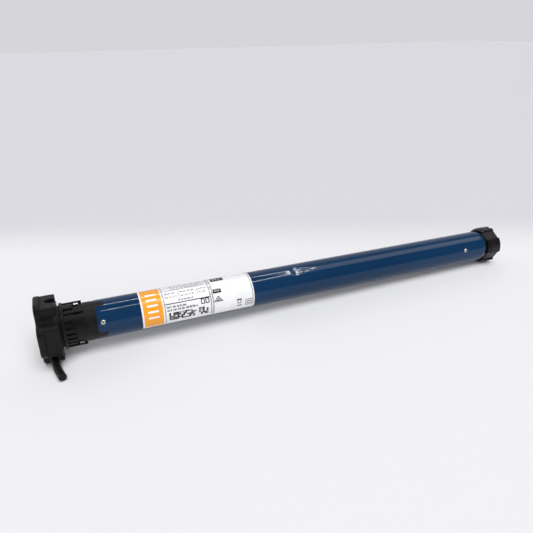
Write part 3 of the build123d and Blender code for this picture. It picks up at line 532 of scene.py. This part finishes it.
# ---- label print ------------------------------------------------------------------------
class Print:
    """Collects flat shapes laid on the label, then makes them one thin piece."""

    def __init__(self, name, lift, color):
        self.name, self.lift, self.color = name, lift, color
        self.verts, self.faces = [], []

    def strip(self, rungs):
        """Facets between pairs of points, each point mm along and mm round the label."""
        start = len(self.verts)
        radius = LABEL_R + self.lift * MM
        for rung in rungs:
            for spot in rung:
                self.verts.append(on_tube(LABEL_X0 + spot.x * MM, spot.y * DEGREES_PER_MM, radius))
        for i in range(start, len(self.verts) - 2, 2):
            self.faces.append((i, i + 1, i + 3, i + 2))

    def quad(self, x0, x1, a0, a1):
        """A patch from x0 to x1 mm along the label and a0 to a1 degrees round it."""
        steps = max(1, int(abs(a1 - a0) / FACET_ROUND))
        heights = [(a0 + (a1 - a0) * k / steps) / DEGREES_PER_MM for k in range(steps + 1)]
        self.strip([(Vector((x0, y)), Vector((x1, y))) for y in heights])

    def outline(self, points, width):
        """A closed line through points, each (x mm, degrees), with a width in mm."""
        flat = [Vector((x, angle / DEGREES_PER_MM)) for x, angle in points]
        edges = []
        for k, here in enumerate(flat):
            ahead = (flat[(k + 1) % len(flat)] - here).normalized()
            behind = (here - flat[k - 1]).normalized()
            across = Vector((-(ahead + behind).y, (ahead + behind).x)).normalized()
            corner = max(0.4, across.dot(Vector((-ahead.y, ahead.x))))
            offset = across * 0.5 * width / corner
            edges.append((here - offset, here + offset))
        for near, far in zip(edges, edges[1:] + edges[:1]):
            steps = max(1, int((far[0] - near[0]).length / FACET_LINE))
            self.strip([[a.lerp(b, k / steps) for a, b in zip(near, far)]
                        for k in range(steps + 1)])

    def disc(self, x, angle, rx, ry, rows=14):
        """A filled oval rx by ry mm, laid down as rows so that it follows the curve."""
        middle = Vector((x, angle / DEGREES_PER_MM))
        rungs = []
        for row in range(rows + 1):
            t = math.pi * row / rows
            half = Vector((rx * math.sin(t), 0))
            centre = middle + Vector((0, ry * math.cos(t)))
            rungs.append((centre - half, centre + half))
        self.strip(rungs)

    def make(self):
        ink = surface(self.name, self.color, INK_GLOSS, INK_MOTTLE, INK_GRAIN, coat=0.25,
                      coat_rough=0.1)
        face_outward(new_piece(self.name, self.verts, self.faces, ink))


def word_bars(ink, rng, x0, x1, angle, height, words):
    """A row of short bars that stands for a line of print."""
    x = x0
    for _ in range(words):
        length = rng.uniform(*WORD_LENGTHS)
        if x + length > x1:
            break
        letter = x
        while letter < x + length - 0.3:
            wide = rng.uniform(*LETTER_WIDTHS)
            tall = height * rng.choice(LETTER_HEIGHTS)
            ink.quad(letter, letter + wide, angle, angle + tall)
            letter += wide + LETTER_GAP
        x += length + WORD_GAP


def make_shutter_sign(white):
    """A plain sign: five even slats of a shutter, spread over the panel."""
    for angle in SIGN_ANGLES:
        white.quad(SIGN_X0, SIGN_X1, angle - SIGN_SLAT, angle + SIGN_SLAT)


def make_rating_table(rng, dark, grey):
    """Rules, columns and rows of bars set out like a rating table."""
    dark.quad(TABLE_X0, TABLE_X1, 30.6, 33.2)
    for angle in (76.5, 93.0):
        grey.quad(TABLE_X0 + 0.2, TABLE_X1 - 0.2, angle, angle + 1.3)
    for x in (45.5, 68.0):
        grey.quad(x, x + 0.5, 45.0, 76.5)
    for angle, height in ((97.5, 4.0), (85.5, 4.6), (79.0, 4.0)):
        word_bars(grey, rng, 38.0, 80.0, angle, height, 11)
    for x0, x1 in ((29.3, 44.0), (47.5, 66.5), (70.0, 81.0)):
        word_bars(dark, rng, x0, x1, 63.5, 5.2, 4)
        word_bars(dark, rng, x0, x1, 50.0, 5.2, 4)
    word_bars(dark, rng, 44.0, 66.0, 37.5, 5.2, 5)
    word_bars(dark, rng, 28.8, 56.0, 19.5, 7.0, 8)
    word_bars(dark, rng, 28.8, 69.0, 9.8, 7.0, 10)
    for x in (70.6, 76.2):
        dark.outline([(x, 29), (x + 3.6, 29), (x + 3.6, 15), (x, 15)], 1.1)


def make_code_band(rng, dark, grey, faint):
    """A band of squares in the place of a machine-read code."""
    wide, turn = (CODE_X1 - CODE_X0) / CODE_COLS, (CODE_HIGH - CODE_LOW) / CODE_ROWS
    for row in range(CODE_ROWS):
        for col in range(CODE_COLS):
            shade = rng.random()
            if shade < CODE_BLANK:
                continue
            ink = dark if shade > CODE_GREY else (grey if shade > CODE_FAINT else faint)
            x, angle = CODE_X0 + col * wide, CODE_LOW + row * turn
            ink.quad(x, x + wide * CODE_FILL, angle, angle + turn * CODE_FILL)


def make_symbols(dark, grey, white):
    """Generic signs right of the table: two plates, a triangle, a bin and squares."""
    dark.quad(88.2, 104.6, 82.0, 105.5)
    for x in (91.0, 94.6, 98.2):
        white.quad(x, x + 2.2, 90.0, 97.0)
    dark.quad(86.4, 96.8, 38.0, 52.0)
    white.quad(88.4, 94.8, 43.5, 46.5)
    dark.outline([(86.6, 12.0), (91.8, 27.5), (97.0, 12.0)], 0.9)
    dark.outline([(89.6, 14.8), (91.8, 21.0), (94.0, 14.8)], 0.8)
    dark.outline([(115.8, 3.5), (120.6, 3.5), (119.6, -8.5), (116.6, -8.5)], 0.9)
    dark.quad(114.8, 121.4, 4.5, 6.6)
    dark.quad(115.2, 121.0, -19.0, -15.4)
    grey.outline([(126.6, 0.0), (134.6, 0.0), (134.6, -20.5), (126.6, -20.5)], 0.9)
    grey.disc(130.6, -10.2, 2.5, 2.6)
    white.disc(130.6, -10.2, 1.5, 1.6)


def make_rules(faint):
    """Upright rules between the label's fields, and the frame at its far end and foot."""
    for x, wide in ((26.1, 1.3), (81.7, 1.6), (84.4, 1.6)):
        faint.quad(x, x + wide, -33.0, 112.0)
    faint.quad(135.7, 136.9, -38.0, 145.0)
    faint.quad(27.4, 136.0, -38.4, -36.6)


def make_label_print():
    """Plain panels, rules and bars where a rating label is printed."""
    rng = random.Random(PRINT_SEED)
    inks = [Print(name, lift, color) for name, (lift, color) in INKS.items()]
    amber, dark, grey, faint, white = inks
    amber.quad(PANEL_X0, PANEL_X1, -35.0, 108.0)
    make_shutter_sign(white)
    make_rating_table(rng, dark, grey)
    make_code_band(rng, dark, grey, faint)
    make_symbols(dark, grey, white)
    make_rules(faint)
    for ink in inks:
        ink.make()


# ---- supply cable -----------------------------------------------------------------------
def make_cable(material):
    curve = bpy.data.curves.new("supply_cable_sheath", "CURVE")
    curve.dimensions = "3D"
    curve.bevel_depth = CABLE_RADIUS
    curve.bevel_resolution = 8
    curve.use_fill_caps = True
    curve.resolution_u = 16
    spline = curve.splines.new("NURBS")
    spline.points.add(len(CABLE_ROUTE) - 1)
    for point, place in zip(spline.points, CABLE_ROUTE):
        point.co = (*(c * MM for c in place), 1)
    spline.order_u = 3
    spline.use_endpoint_u = True
    cable = add_object("supply_cable_sheath", curve)
    curve.materials.append(material)
    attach(cable, BODY)
    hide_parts("supply_cable")


# ---- springs ----------------------------------------------------------------------------
def make_spring(node, joint):
    """A copy of a node's coil in its place, carried by its joint's parent body."""
    coil = add_object(f"{node}_coil", NODES[node].data.copy())
    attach(coil, joint["parent"])
    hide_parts(node)
    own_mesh(coil)


def make_springs():
    for joint in frame["record"]["behaviour"]["joints"]:
        for spring in joint.get("deforming_nodes", []):
            make_spring(spring["node"], joint)


# ---- scene ------------------------------------------------------------------------------
make_camera()
materials = make_materials()
make_cable(materials["cable_sheath"])
make_stage()
make_world()
make_lights()
make_tube(materials["tube_paint"])
make_label_print()
make_springs()
